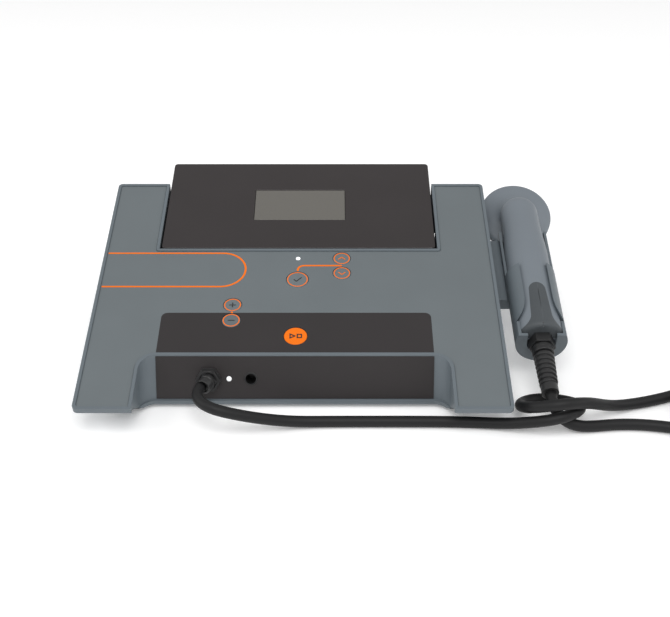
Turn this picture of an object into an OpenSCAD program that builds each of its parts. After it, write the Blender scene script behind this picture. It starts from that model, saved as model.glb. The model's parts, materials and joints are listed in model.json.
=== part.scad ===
// Ultrasound therapy unit: a sloping console, a treatment handset in its side
// cradle, and the cable that joins them. Millimetres, +Z up, front towards -Y.

/* [Console] */
// Width of the sloping control panel
panel_w = 260; // [245:1:300]
// Length of the panel along its slope
panel_l = 207; // [195:1:240]
// Slope of the panel, in degrees
slope = 15; // [12:1:18]
// Height of the panel's front edge above the bench
front_h = 20.6; // [18:0.1:26]
// Thickness of the top cover
cover_t = 3.2; // [2.6:0.1:4]
// Wall of the lower housing
wall = 2.4; // [1.8:0.1:3.2]
// Height of the rim that frames the panel
rim_h = 0.6; // [0.3:0.1:1]
// Width of that rim
rim_w = 2; // [1.4:0.1:3]
// How far the base stands in from the panel's sides
side_tuck = 16; // [10:1:20]
// How far the base stands in from the panel's front edge
front_tuck = 26; // [20:1:30]

/* [Front recess] */
// Width of the recess between the two front wings
recess_w = 190; // [170:1:200]
// Depth of the recess along the panel
recess_d = 42.5; // [36:0.5:48]
// Radius of the recess corners
recess_r = 10; // [6:1:14]
// Lean of the connector wall, in degrees from upright
wall_lean = 19; // [12:1:22]
// Ledge left in front of the connector wall
ledge_d = 2; // [1.5:0.5:8]
// Height of the ledge above the bench
ledge_z = 5.4; // [5.4:0.1:6.5]

/* [Display] */
// Width of the display bezel
bezel_w = 185; // [170:1:200]
// Length of the bezel along the slope
bezel_l = 91; // [84:1:96]
// Bezel thickness
bezel_t = 3; // [2:0.1:4]
// How far the bezel stands out behind the panel
bezel_out = 24; // [16:1:30]
// Depth of the display housing under the bezel
pod_depth = 20; // [17:1:22]
// Width of the display window
window_w = 63; // [50:1:72]
// Height of the display window
window_l = 31.8; // [26:0.1:36]

/* [Keys] */
// Diameter of the two large keys
big_key_d = 14.5; // [13:0.1:16]
// Diameter of the four small keys
small_key_d = 11.8; // [10:0.1:12.5]
// Travel of every key
key_travel = 0.5; // [0.3:0.1:0.7]
// Diameter of the indicator lamps
led_d = 3.2; // [2.8:0.1:4]

/* [Handset] */
// Largest diameter of the handle
handle_d = 29; // [27:0.2:31]
// Diameter of the handle next to the head
neck_d = 26.2; // [24:0.2:27]
// Length of the handle from cable end to rounded end
handle_l = 133; // [120:1:150]
// Diameter of the treatment head
head_d = 51; // [46:0.5:54]
// Tilt of the head against the handle, in degrees
head_tilt = 20; // [12:1:24]
// Wall of the handle shells
shell_t = 2; // [1.5:0.1:2.5]

/* [Cradle] */
// Distance from the panel's side to the handset's axis
cradle_out = 25; // [22:0.5:32]
// Depth of the handset's axis under the panel's plane
cradle_drop = 10; // [7:0.5:11]
// Wall of the cradle
cradle_t = 1.7; // [1.4:0.1:2.4]
// Opening between the two arms of the cradle
arm_gap = 18; // [17.2:0.1:20]

/* [Cable] */
// Diameter of the cable
cable_d = 7; // [6:0.1:7.4]

/* [Hidden] */
$fn = 48;
film_t = 0.4;
fit = 0.3;            // running clearance between bodies
snug = 0.15;          // clearance round fixed pieces
foot_h = 3;
foot_d = 12;
base_z = foot_h;
floor_t = wall;
pcb_t = 1.6;

main_board_z = base_z + floor_t + 5;
BOARD_X = [-98, 34];
BOARD_Y = [58, 132];

// rear face of the housing, straight below the cover's rear edge
back_y = panel_l * cos(slope) + cover_t * sin(slope);
bezel_s1 = panel_l + bezel_out;
bezel_s0 = bezel_s1 - bezel_l;
window_s = bezel_s0 + 29;
bay_w = bezel_w + 2.2;
bay_s0 = bezel_s0 - 1.4;
pod_w = bezel_w - 0.8;
pod_inset = 0.6;      // how far the display housing stands in under the bezel
pod_tail = 9;         // depth of the display housing at its rear end

// crease where the panel turns down into the connector wall
crease_y = recess_d * cos(slope);
crease_z = front_h + recess_d * sin(slope);
wall_drop = (crease_z - ledge_z) / cos(wall_lean);
ledge_y = crease_y - (crease_z - ledge_z) * tan(wall_lean) - ledge_d;

// label on the panel and on the connector wall
label_w = recess_w - 19;
label_s = 79;
label_r = 4;
label_gap = 0.4;      // bare strip above and below the connector wall's label

// key places across the panel and up its slope
start_key = [0, 58.9];
select_key = [0, 109.4];
up_key = [29.1, 129.5];
down_key = [29.1, 115.4];
plus_key = [-41, 86];
minus_key = [-41, 72.4];
power_lamp = [0, 129.5];
KEYS = [[start_key, big_key_d], [select_key, big_key_d], [up_key, small_key_d],
        [down_key, small_key_d], [plus_key, small_key_d], [minus_key, small_key_d]];
key_gap = 0.25;
key_skirt = 1.6;      // height of a key cap
key_stem_d = 4;
dome_h = 0.4;
dome_clear = 0.3;
keyboard_n = -(film_t + key_skirt + 4.6);
dome_top = keyboard_n + dome_h;
stem_end = dome_top + key_travel + dome_clear;

// connector wall fittings, measured across and down from the crease
socket_x = -53;
lamp_x = -40.6;
jack_x = -27.2;
fitting_drop = 14.7;
socket_d = 10;
socket_bore_r = 3.4;
socket_l = 12;
jack_d = 7.8;
jack_bore = 6.5;       // takes a 6.35 mm plug
jack_l = 16;
nut_af = 14;
nut_t = 2;

plug_yaw = 38;
plug_dip = 25;
plug_neck = film_t + nut_t + 1;
neck_l = 4.6;
ball_d = 9.8;
boot_d = 9.4;
boot_l = 6;

// handset places along its axis, from the panel's front edge
cable_end = 64.5;     // where the handle begins
handle_end = cable_end + handle_l;
handle_r = handle_d / 2;
neck_r = neck_d / 2;
grip_x = panel_w / 2 + cradle_out;
grip_n = -cradle_drop;
taper_s0 = handle_end - 57;
taper_s1 = handle_end - 26;
head_split_s = handle_end - 28;
head_s = handle_end - 1.5;
head_n = grip_n - 10.5;
head_r = head_d / 2;
face_r = head_r - 2.5;
rim_t = 3.4;
pocket_h = 1.4;
face_h = 5.6;
inset_s = cable_end + 38;
inset_r = 5.4;         // rounded tip of the soft grip's tongue
inset_foot = 6.6;      // half its width where the flare starts
inset_t = 1.1;
grip_flare = 6;
flare_s = cable_end + 11;
flare_l = 8;
stub_d = 9;            // hole in the handle's end for the gland's thread
stub_l = 10;
gland_af = 15;
gland_t = 7;
collar_t = 6;
relief_l = 31;
relief_end = cable_end - gland_t - collar_t - relief_l;
screw_r = 1.25;

// cradle
cradle_ri = handle_r + fit;
cradle_ro = cradle_ri + cradle_t;
cradle_end_t = 2.2;    // end wall that stops the handset
cradle_s0 = cable_end - fit - cradle_end_t;
collar_top = 7;        // height of the cradle's end over the handset's axis
arm_s0 = cable_end + 10;
arm_s1 = cable_end + 57;
cradle_s1 = cable_end + 102;
bracket_s0 = cable_end + 40;
bracket_s1 = cable_end + 98;
bracket_top = grip_n - 4;
bracket_t = 9;
gland_way = 9.2;       // slot in the cradle's end that the gland lies in
arm_turn = 16;         // length over which the arms spread out
arm_flare = cradle_ro + 0.5 - arm_gap / 2;

// mains inlet at the back
inlet_x = -62;
inlet_z = 27;
rocker_x = -18;
inlet_w = 27;
inlet_depth = 18;
flange_t = 2.4;
drawer_w = 23.4;
drawer_h = 6.6;
drawer_l = 16;
drawer_y = -9;
rocker_w = 19;
rocker_h = 12.8;
rocker_wall = 1.2;
rocker_pin_d = 2;
rocker_pivot = -2.4;
rocker_tilt = 7;

// screws that hold the cradle's bracket, seated on the housing's side wall
bracket_mid = bracket_top - bracket_t / 2;
side_fall = (-cover_t - bracket_mid) * cos(slope);
side_high = front_h + (bracket_s0 + bracket_s1) / 2 * sin(slope) - cover_t * cos(slope) - base_z;
seat_x = panel_w / 2 - side_tuck * side_fall / side_high - wall + 0.4;

// the frame's origin is under the middle of the object, cable left out
frame_x = (grip_x + head_r - panel_w / 2) / 2;
front_edge_y = -rim_h * sin(slope);
rear_edge_y = (bezel_s1 - pod_inset) * cos(slope) + (bezel_t + pod_tail) * sin(slope);
frame_y = (front_edge_y + rear_edge_y) / 2;

// cable route, across from the console's middle and back from its front edge
RUN_CONSOLE = [[-56.7, 24.6, 19.8], [-58.6, 19, 20.2], [-58.3, 13, 20.5], [-55.8, 7.6, 20.6],
    [-51.5, 3.6, 20.3], [-45.9, 1.4, 19.3], [-39.6, 1.4, 17.5], [-31.5, 2.4, 14.7], [-22.5, 4.4, 11.3],
    [-12.5, 6.9, 7.9], [-1.5, 9.3, 5.1], [11, 11, 3.7], [25, 11.5, 3.5],
    [45, 11.5, 3.5], [80, 11.5, 3.5], [104, 11, 3.5], [120, 9, 4], [133, 6, 6],
    [145, 3, 9.5], [156.5, -1, 14.2], [170, 5.5, 15.2], [175, 19.5, 9.5], [168, 32.5, 4], [153, 36.5, 3.5],
    [141, 31.5, 4.5], [135, 20, 9], [139, 8, 15.5], [151, 1, 22.6], [165, 1, 24.6],
    [178.5, 10.5, 18], [190, 21, 8], [203, 27.5, 4], [218, 32, 3.5], [235, 38, 3.5],
    [252, 47, 3.5], [266, 57, 3.5]];
RUN_HANDSET = [[155, 21.8, 16.1], [155, 17, 14.8], [156, 11.5, 12], [160, 7, 8], [167, 5, 4.6],
    [177, 6, 3.5], [190, 8.5, 3.5], [205, 9, 3.5], [222, 6.5, 3.6], [240, 0, 4.8],
    [254, -9, 7.5], [266, -18, 10.5]];
coil_x = 282;
coil_y = 19;
coil_r = 38;
coil_w = 2 * cable_d;
coil_h = 2 * cable_d;
TUBE_SIDES = 10;

// ---------- places ----------

module place() { translate([-frame_x, -frame_y, 0]) children(); }

// children in the panel's own frame: X across, Y up the slope, Z out of the panel
module on_panel() { place() translate([0, 0, front_h]) rotate([slope, 0, 0]) children(); }

// children on the connector wall: Z up the wall, -Y out of it
module on_wall() {
    place() translate([0, crease_y, crease_z]) rotate([-wall_lean, 0, 0]) children();
}

// children on the connector wall's fitting line, with Z straight out of the wall
module on_fitting(x) { on_wall() translate([x, 0, -fitting_drop]) rotate([90, 0, 0]) children(); }

// children on the handset's axis, with Z running up the slope
module on_grip(s) { on_panel() translate([grip_x, s, grip_n]) rotate([-90, 0, 0]) children(); }

// children at the head's rim, with Z along the sound, out of the treatment face
module on_head() {
    on_panel() translate([grip_x, head_s, head_n]) rotate([180 + head_tilt, 0, 0]) children();
}

// ---------- plain shapes ----------

module round_rect(w, l, r) {
    translate([-w / 2 + r, 0]) square([w - 2 * r, l]);
    translate([-w / 2, r]) square([w, l - 2 * r]);
    for (x = [-1, 1], y = [r, l - r]) translate([x * (w / 2 - r), y]) circle(r);
}

// block of the given size, centred across and along, standing on z = 0
module block(w, l, h) { translate([-w / 2, -l / 2, 0]) cube([w, l, h]); }

module hexagon(af, h) { cylinder(d = af / cos(30), h = h, $fn = 6); }

// ring with the given radii, standing on z = 0
module ring(ro, ri, h) {
    difference() {
        cylinder(r = ro, h = h);
        translate([0, 0, -1]) cylinder(r = ri, h = h + 2);
    }
}

// screw: head on top of z = 0, shank below it
module screw(head_d, head_h, shank_d, shank_l) {
    difference() {
        cylinder(d = head_d, h = head_h);
        translate([0, 0, head_h * 0.4]) block(head_d * 0.6, head_d * 0.14, head_h);
        translate([0, 0, head_h * 0.4]) block(head_d * 0.14, head_d * 0.6, head_h);
    }
    translate([0, 0, -shank_l]) cylinder(d = shank_d, h = shank_l);
}

// outline of the front recess seen down the connector wall
module recess_outline(grow) {
    w = recess_w + 2 * grow;
    r = recess_r + grow;
    translate([-(w / 2 - r), -90]) square([w - 2 * r, 90 + grow]);
    translate([-w / 2, -90]) square([w, 90 + grow - r]);
    for (x = [-1, 1]) translate([x * (w / 2 - r), grow - r]) circle(r);
}

// recess as a cut, from the ledge upwards
module recess_cut(grow) {
    intersection() {
        on_wall() translate([0, 0, -60]) linear_extrude(120) recess_outline(grow);
        place() translate([-panel_w, -100, ledge_z]) cube([2 * panel_w, 300, 100]);
    }
}

// front of the base under the recess, cut back to the ledge
module ledge_cut() {
    place() translate([0, ledge_y, -1]) linear_extrude(ledge_z + 20) recess_outline(0);
}

// bay that the display housing stands in
module bay_cut() {
    on_panel() translate([0, bay_s0, -pod_depth - bezel_t - 0.6])
        linear_extrude(60) translate([-bay_w / 2, 0]) square([bay_w, bezel_l + 20]);
}

// ---------- console shells ----------

module cover_outline(inset) {
    translate([0, inset]) round_rect(panel_w - 2 * inset, panel_l - 2 * inset, 3 - min(inset, 1.5));
}

// whole outer body below the cover
module body_hull(inset, top_n, bottom_z) {
    hull() {
        on_panel() translate([0, inset, top_n - 0.1]) linear_extrude(0.1)
            round_rect(panel_w - 2 * inset, panel_l - 2 * inset, 3, $fn = 24);
        place() translate([0, front_tuck + inset, bottom_z]) linear_extrude(0.1)
            round_rect(panel_w - 2 * side_tuck - 2 * inset, back_y - front_tuck - 2 * inset, 6, $fn = 24);
    }
}

module key_holes(extra, depth) {
    for (k = KEYS) translate([k[0][0], k[0][1], -depth]) cylinder(d = k[1] + extra, h = depth + 2);
    translate([power_lamp[0], power_lamp[1], -depth]) cylinder(d = led_d + 2 * snug, h = depth + 2);
}

module top_cover() color([0.42, 0.45, 0.47]) {
    difference() {
        union() {
            on_panel() translate([0, 0, -cover_t]) linear_extrude(cover_t - film_t) cover_outline(0);
            // rim round the outer edge, the recess and the display bay
            difference() {
                on_panel() translate([0, 0, -film_t]) linear_extrude(film_t + rim_h) cover_outline(0);
                on_panel() translate([0, 0, -film_t]) linear_extrude(film_t + rim_h + 1)
                    difference() {
                        cover_outline(rim_w);
                        translate([0, bay_s0 - rim_w]) round_rect(bay_w + 2 * rim_w, 120, 2);
                    }
            }
            on_panel() recess_rim();
            // locating lip inside the lower housing
            on_panel() translate([0, 0, -cover_t - 3]) linear_extrude(3.2) lip_outline();
            // posts that take the case screws
            intersection() {
                on_case_screws() translate([0, 0, floor_t]) ring(4, 1.1, 60);
                body_hull(0.6, -film_t, base_z);
            }
            // connector wall
            intersection() {
                recess_cut(wall);
                on_panel() translate([-panel_w, 0, -60]) cube([2 * panel_w, panel_l, 60 - film_t]);
                body_hull(0.6, 0, base_z);
            }
        }
        recess_cut(0);
        bay_cut();
        on_panel() key_holes(2 * key_gap, 8);
        on_fitting(socket_x) translate([0, 0, -wall - 4]) cylinder(d = socket_d + 2 * snug, h = wall + 6);
        on_fitting(jack_x) translate([0, 0, -wall - 4]) cylinder(d = jack_d + 2 * snug, h = wall + 6);
        on_fitting(lamp_x) translate([0, 0, -wall - 4]) cylinder(d = led_d + 2 * snug, h = wall + 6);
    }
}

// raised rim along the recess
module recess_rim() {
    translate([0, 0, -film_t]) linear_extrude(film_t + rim_h)
        intersection() {
            translate([0, recess_d]) recess_outline(rim_w);
            cover_outline(0);
        }
}

module lip_outline() {
    inset = wall + 1.4;
    difference() {
        cover_outline(inset);
        cover_outline(inset + 1.6);
        translate([-panel_w, -1]) square([2 * panel_w, recess_d + 20]);
        translate([-panel_w, bay_s0 - 8]) square([2 * panel_w, panel_l]);
    }
}

module lower_housing() color([0.40, 0.43, 0.45]) {
    difference() {
        body_hull(0, -cover_t, base_z);
        body_hull(wall, -cover_t + 0.2, base_z + floor_t);
        recess_cut(wall + snug);
        ledge_cut();
        bay_cut();
        on_inlet() translate([0, 0, -wall - 4]) plate(inlet_w + 2 * snug, inlet_w + 2 * snug, wall + 8);
        on_rocker() translate([0, 0, -wall - 4]) plate(rocker_w + 2 * snug, rocker_h + 2 * snug, wall + 8);
        on_inlet_screws() translate([0, 0, -8]) cylinder(r = screw_r + 0.3, h = 16);
        // vents low in the back wall
        for (i = [0:7]) place() translate([38 + 8 * i, back_y - wall - 3, 14]) cube([4, wall + 6, 22]);
        on_feet() translate([0, 0, -1]) cylinder(d = 3.4, h = floor_t + 4);
        on_case_screws() translate([0, 0, -1]) cylinder(d = 3.4, h = floor_t + 6);
        on_bracket_screws() translate([0, 0, -12]) cylinder(d = 3.4, h = 20);
        on_bracket_screws() cylinder(d = 6.6, h = 8);
    }
    // pillars under the main board
    on_board() ring(3, 1.1, main_board_z - base_z - floor_t);
}

// ---------- label and overlay ----------

module panel_label_shape(grow) {
    s0 = recess_d + rim_w + snug;
    l = label_s - s0;
    w = label_w + 2 * grow;
    translate([-w / 2, s0]) square([w, l - label_r + grow]);
    translate([-w / 2 + label_r, s0]) square([w - 2 * label_r, l + grow]);
    for (x = [-1, 1]) translate([x * (w / 2 - label_r), s0 + l + grow - label_r]) circle(label_r);
}

module panel_overlay() color([0.44, 0.47, 0.48]) on_panel() difference() {
    translate([0, 0, -film_t]) linear_extrude(film_t) difference() {
        cover_outline(rim_w + 0.3);
        translate([0, recess_d]) recess_outline(rim_w + 0.3);
        translate([0, bay_s0 - rim_w - 0.3]) round_rect(bay_w + 2 * rim_w + 0.6, 120, 2);
        panel_label_shape(0);
    }
    key_holes(2 * key_gap, 2);
}

module panel_label() color([0.2, 0.19, 0.19]) on_panel() difference() {
    translate([0, 0, -film_t]) linear_extrude(film_t) panel_label_shape(0);
    key_holes(2 * key_gap, 2);
}

module wall_label() color([0.19, 0.19, 0.19]) difference() {
    on_wall() translate([-label_w / 2, -film_t, label_gap - wall_drop])
        cube([label_w, film_t, wall_drop - 2 * label_gap]);
    on_fitting(socket_x) translate([0, 0, -1]) cylinder(d = socket_d + 2 * snug, h = 3);
    on_fitting(jack_x) translate([0, 0, -1]) cylinder(d = jack_d + 2 * snug, h = 3);
    on_fitting(lamp_x) translate([0, 0, -1]) cylinder(d = led_d + 2 * snug, h = 3);
}

// ---------- keys ----------

module key_cap(at, d, tint) color(tint) on_panel() translate([at[0], at[1], 0]) {
    translate([0, 0, -film_t - key_skirt]) cylinder(d = d, h = key_skirt + film_t);
    translate([0, 0, stem_end]) cylinder(d = key_stem_d, h = -film_t - key_skirt - stem_end);
}

module start_key() key_cap(start_key, big_key_d, [0.96, 0.5, 0.08]);
module select_key() key_cap(select_key, big_key_d, [0.44, 0.47, 0.48]);
module up_key() key_cap(up_key, small_key_d, [0.44, 0.47, 0.48]);
module down_key() key_cap(down_key, small_key_d, [0.44, 0.47, 0.48]);
module plus_key() key_cap(plus_key, small_key_d, [0.44, 0.47, 0.48]);
module minus_key() key_cap(minus_key, small_key_d, [0.44, 0.47, 0.48]);

module key_board() color([0.1, 0.4, 0.22]) on_panel()
    translate([-52, start_key[1] - 9, keyboard_n - pcb_t])
        cube([94, power_lamp[1] - start_key[1] + 16, pcb_t]);

module key_domes() color([0.8, 0.8, 0.78]) on_panel()
    for (k = KEYS) translate([k[0][0], k[0][1], keyboard_n]) {
        cylinder(d = 8, h = dome_h / 2);
        cylinder(d = 5, h = dome_h);
    }

module lamp_body(h) {
    cylinder(d = led_d, h = h);
    cylinder(d = led_d + 0.9, h = 1);
    for (x = [-1.27, 1.27]) translate([x, 0, -1.4]) cylinder(d = 0.5, h = 1.5, $fn = 16);
}

module power_lamp() color([0.95, 0.95, 0.95])
    on_panel() translate([power_lamp[0], power_lamp[1], -film_t - cover_t - 1])
        lamp_body(cover_t + film_t + 1.2);

// ---------- display ----------

module display_bezel() color([0.22, 0.2, 0.2]) on_panel() difference() {
    translate([0, bezel_s0, -bezel_t]) linear_extrude(bezel_t) round_rect(bezel_w, bezel_l, 2.5);
    translate([-window_w / 2 - snug, window_s - snug, -bezel_t - 1])
        cube([window_w + 2 * snug, window_l + 2 * snug, bezel_t + 2]);
}

module display_window() color([0.42, 0.41, 0.38]) on_panel()
    translate([-window_w / 2, window_s, -1.8]) cube([window_w, window_l, 1.5]);

// side profile of the display housing
module pod_profile(t) {
    s0 = bezel_s0 + pod_inset + t;
    s1 = bezel_s1 - pod_inset - t;
    knee = panel_l - 6;
    polygon([[s0, -bezel_t], [s0, -bezel_t - pod_depth + t], [knee, -bezel_t - pod_depth + t],
             [s1, -bezel_t - pod_tail + t], [s1, -bezel_t]]);
}

module display_housing() color([0.2, 0.19, 0.19]) on_panel() {
    difference() {
        translate([-pod_w / 2, 0, 0]) rotate([90, 0, 90]) linear_extrude(pod_w) pod_profile(0);
        translate([-pod_w / 2 + 2, 0, 0.1]) rotate([90, 0, 90]) linear_extrude(pod_w - 4) pod_profile(2);
        translate([-pod_w / 2 + 2, bezel_s0 + 2.6, -bezel_t - 0.5]) cube([pod_w - 4, bezel_l - 5.2, 1]);
    }
}

module display_module() color([0.12, 0.38, 0.3]) on_panel() {
    mid = window_s + window_l / 2;
    translate([0, mid, -bezel_t - 8]) block(93, 70, pcb_t);
    translate([0, mid, -bezel_t - 8 + pcb_t]) block(80, 44, 5.2);
}

// ---------- boards inside ----------

module on_board() {
    for (x = [BOARD_X[0] + 5, BOARD_X[1] - 5], y = [BOARD_Y[0] + 5, BOARD_Y[1] - 5])
        place() translate([x, y, base_z + floor_t]) children();
}

module main_board() color([0.09, 0.38, 0.2]) {
    difference() {
        place() translate([BOARD_X[0], BOARD_Y[0], main_board_z])
            cube([BOARD_X[1] - BOARD_X[0], BOARD_Y[1] - BOARD_Y[0], pcb_t]);
        on_board() cylinder(d = 2.8, h = 20);
    }
    place() translate([-60, 95, main_board_z + pcb_t]) {
        block(22, 22, 2);
        translate([34, 8, 0]) block(14, 18, 2.4);
        for (i = [0:4]) translate([-26 + 9 * i, -24, 0]) cylinder(d = 6, h = 7);
    }
}

module generator_board() color([0.08, 0.34, 0.22]) place() translate([44, 62, base_z + floor_t]) {
    cube([58, 74, pcb_t]);
    for (i = [0:2]) translate([12 + 17 * i, 18, pcb_t]) difference() {
        cylinder(d = 13, h = 5);
        translate([0, 0, -1]) cylinder(d = 6, h = 8);
    }
}

module heat_sink() color([0.7, 0.71, 0.72]) place() translate([46, 106, base_z + floor_t + pcb_t]) {
    cube([50, 26, 3]);
    for (i = [0:7]) translate([6.7 * i, 0, 3]) cube([1.6, 26, 12]);
}

module power_supply() color([0.75, 0.7, 0.2]) place() translate([-92, 138, base_z + floor_t]) {
    cube([80, 36, pcb_t]);
    translate([24, 18, pcb_t]) block(26, 28, 18);
    for (y = [9, 27]) translate([56, y, pcb_t]) cylinder(d = 12, h = 18);
}

module buzzer() color([0.1, 0.1, 0.1]) place() translate([14, 110, main_board_z + pcb_t]) ring(6, 1, 8);

module board_screws() color([0.75, 0.75, 0.72])
    on_board() translate([0, 0, main_board_z - base_z - floor_t + pcb_t]) screw(5, 1.8, 2, 5.5);

// ---------- connector wall ----------

module output_lamp() color([0.95, 0.95, 0.95])
    on_fitting(lamp_x) translate([0, 0, -wall - 1]) lamp_body(wall + 1 + film_t + 0.3);

module output_socket() color([0.3, 0.3, 0.31]) on_fitting(socket_x) {
    translate([0, 0, -socket_l]) ring(socket_d / 2, socket_bore_r, socket_l + film_t + nut_t + 1.6);
    translate([0, 0, -socket_l]) cylinder(r = socket_bore_r, h = 4);
    for (i = [0:4]) rotate([0, 0, 72 * i]) translate([2, 0, -14]) cylinder(d = 0.9, h = 13, $fn = 16);
}

module output_socket_nut() color([0.2, 0.2, 0.2]) on_fitting(socket_x) translate([0, 0, film_t])
    difference() {
        hexagon(nut_af, nut_t);
        translate([0, 0, -1]) cylinder(d = socket_d + 0.04, h = nut_t + 2);
    }

module accessory_jack() color([0.04, 0.04, 0.04]) on_fitting(jack_x) {
    difference() {
        translate([0, 0, -jack_l]) cylinder(d = jack_d, h = jack_l + film_t + 0.1);
        translate([0, 0, 1.5 - jack_l]) cylinder(d = jack_bore, h = jack_l + 4);
    }
}

// ---------- plug on the console ----------

module plug_coupling_nut() color([0.17, 0.17, 0.17]) on_fitting(socket_x)
    translate([0, 0, film_t + nut_t + 0.3]) difference() {
        union() {
            hexagon(nut_af - 0.6, 3);
            cylinder(d = nut_af - 1.4, h = 3.6);
        }
        translate([0, 0, -1]) cylinder(d = socket_d + 2 * fit, h = 6);
    }

module cable_plug() color([0.14, 0.14, 0.14]) on_fitting(socket_x) translate([0, 0, plug_neck]) {
    cylinder(r = socket_bore_r - 0.2, h = neck_l);
    translate([0, 0, neck_l]) sphere(d = ball_d);
    translate([0, 0, neck_l]) rotate([plug_dip, 0, 0]) rotate([0, -plug_yaw, 0])
        cylinder(d = boot_d, h = boot_l);
}

// ---------- mains inlet and switch ----------

module on_inlet() { place() translate([inlet_x, back_y, inlet_z]) rotate([90, 0, 180]) children(); }
module on_rocker() { place() translate([rocker_x, back_y, inlet_z]) rotate([90, 0, 180]) children(); }
module on_inlet_screws() { for (x = [-20, 20]) on_inlet() translate([x, 0, 0]) children(); }

// plate centred on the axis, with its thickness along Z
module plate(w, h, t) { translate([-w / 2, -h / 2, 0]) cube([w, h, t]); }

module mains_inlet() color([0.07, 0.07, 0.07]) on_inlet() {
    difference() {
        union() {
            plate(50, 30, flange_t);
            translate([0, 0, -inlet_depth]) plate(inlet_w, inlet_w, inlet_depth);
        }
        translate([0, 4.5, 2 - inlet_depth + 3]) plate(24, 16, 40);
        translate([0, drawer_y, 2 - inlet_depth]) plate(drawer_w + 2 * fit, drawer_h + 2 * fit, 40);
        for (x = [-20, 20]) translate([x, 0, -8]) cylinder(d = 3.2, h = 16);
    }
    // contact blades
    for (p = [[-7, 3.5], [0, 7], [7, 3.5]]) translate([p[0], p[1], 5 - inlet_depth]) plate(2, 4, 11);
}

module inlet_screws() color([0.7, 0.7, 0.7])
    on_inlet_screws() translate([0, 0, flange_t]) screw(5, 1.6, 2 * screw_r, 6);

module fuse_drawer() color([0.1, 0.1, 0.1]) on_inlet() translate([0, drawer_y, 0]) difference() {
    translate([0, 0, flange_t - drawer_l]) plate(drawer_w, drawer_h, drawer_l + 0.8);
    translate([0, 0.8, flange_t - drawer_l + 1]) plate(20.6, drawer_h, drawer_l - 2.6);
}

module fuses() color([0.8, 0.8, 0.85]) on_inlet()
    for (z = [4.2, 10]) translate([-10, drawer_y + 0.6, z - drawer_l + flange_t]) rotate([0, 90, 0])
        cylinder(d = 5, h = 20);

module rocker_frame() color([0.08, 0.08, 0.08]) on_rocker() difference() {
    union() {
        plate(rocker_w + 2, rocker_h + 2.2, 1.8);
        translate([0, 0, -12]) plate(rocker_w, rocker_h, 12);
    }
    translate([0, 0, -8]) plate(rocker_w - 2.6, rocker_h - 2 * rocker_wall, 12);
    translate([0, 0, rocker_pivot]) rotate([90, 0, 0])
        cylinder(d = rocker_pin_d + 0.1, h = rocker_h + 4, center = true);
}

module power_rocker() color([0.06, 0.06, 0.06]) on_rocker() translate([0, 0, rocker_pivot])
    rotate([0, rocker_tilt, 0]) rotate([90, 0, 0]) {
        cylinder(d = rocker_pin_d, h = rocker_h - 0.8, center = true);
        translate([0, 0, -4.8]) linear_extrude(9.6)
            polygon([[-7.6, -3], [7.6, -3], [7.6, 5.6], [0, 4.4], [-7.6, 5.6]]);
    }

// ---------- feet and case screws ----------

module on_feet() {
    for (x = [-1, 1], y = [front_tuck + 7.5, back_y - 10])
        place() translate([x * (panel_w / 2 - side_tuck - 10), y, base_z]) children();
}
module on_case_screws() {
    for (x = [-1, 1], y = [front_tuck + 24, back_y - 26])
        place() translate([x * (panel_w / 2 - side_tuck - 10), y, base_z]) children();
}

module feet() color([0.1, 0.1, 0.1]) on_feet() {
    translate([0, 0, -foot_h]) cylinder(d = foot_d, h = foot_h);
    cylinder(d = 3, h = floor_t + 1);
}

module case_screws() color([0.7, 0.7, 0.72])
    on_case_screws() rotate([180, 0, 0]) screw(6, 2, 2.4, 12);

// ---------- cradle ----------

module cradle_bracket() color([0.4, 0.43, 0.45]) difference() {
    on_panel() translate([panel_w / 2 - side_tuck, bracket_s0, bracket_top - bracket_t])
        cube([side_tuck + cradle_out, bracket_s1 - bracket_s0, bracket_t]);
    body_hull(0, -cover_t, base_z);
    on_grip(cradle_s0 - 5) cylinder(r = cradle_ro, h = 200);
    on_bracket_screws() translate([0, 0, -11]) cylinder(d = 2.8, h = 12);
}

module cradle_section(top) {
    difference() {
        circle(cradle_ro);
        circle(cradle_ri);
        translate([-2 * cradle_ro, top]) square([4 * cradle_ro, 2 * cradle_ro]);
    }
}

module cradle_span(s0, s1, top) {
    on_panel() translate([grip_x, s1, grip_n]) rotate([90, 0, 0])
        linear_extrude(s1 - s0) cradle_section(top);
}

// way in between the arms, which spreads out at the cable end
module cradle_gap() {
    g = arm_gap / 2;
    turn = arm_s0 + arm_turn;
    edge = [for (a = [0:10:90]) [g + arm_flare * (1 - cos(a)), turn - arm_turn * sin(a)]];
    side = concat([[0, arm_s0], [0, arm_s1 + 1], [g, arm_s1 + 1]], edge, [[cradle_ro + 1, arm_s0]]);
    on_panel() translate([grip_x, 0, grip_n + 1]) linear_extrude(2 * cradle_ro)
        for (m = [0, 1]) mirror([m, 0]) polygon(side);
    on_panel() translate([grip_x - cradle_ro - 1, cradle_s0 - 1, grip_n + collar_top])
        cube([2 * cradle_ro + 2, arm_s0 - cradle_s0 + 1.1, cradle_ro]);
}

module cradle() color([0.42, 0.45, 0.47]) {
    difference() {
        cradle_span(cradle_s0, arm_s1, cradle_ro + 1);
        cradle_gap();
    }
    cradle_span(arm_s1 - 1, cradle_s1, 1);
    // end wall with a slot for the gland
    on_panel() translate([grip_x, cradle_s0 + cradle_end_t, grip_n]) rotate([90, 0, 0])
        linear_extrude(cradle_end_t) difference() {
            circle(cradle_ro - 0.5);
            circle(gland_way);
            translate([-gland_way, 0]) square([2 * gland_way, cradle_ro]);
            translate([-cradle_ro, collar_top]) square([2 * cradle_ro, cradle_ro]);
        }
}

module on_bracket_screws() {
    for (s = [bracket_s0 + 12, bracket_s1 - 12])
        on_panel() translate([seat_x, s, bracket_mid]) rotate([0, -90, 0]) children();
}

module bracket_screws() color([0.7, 0.7, 0.72]) on_bracket_screws() screw(6, 2, 2.8, 10);

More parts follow.
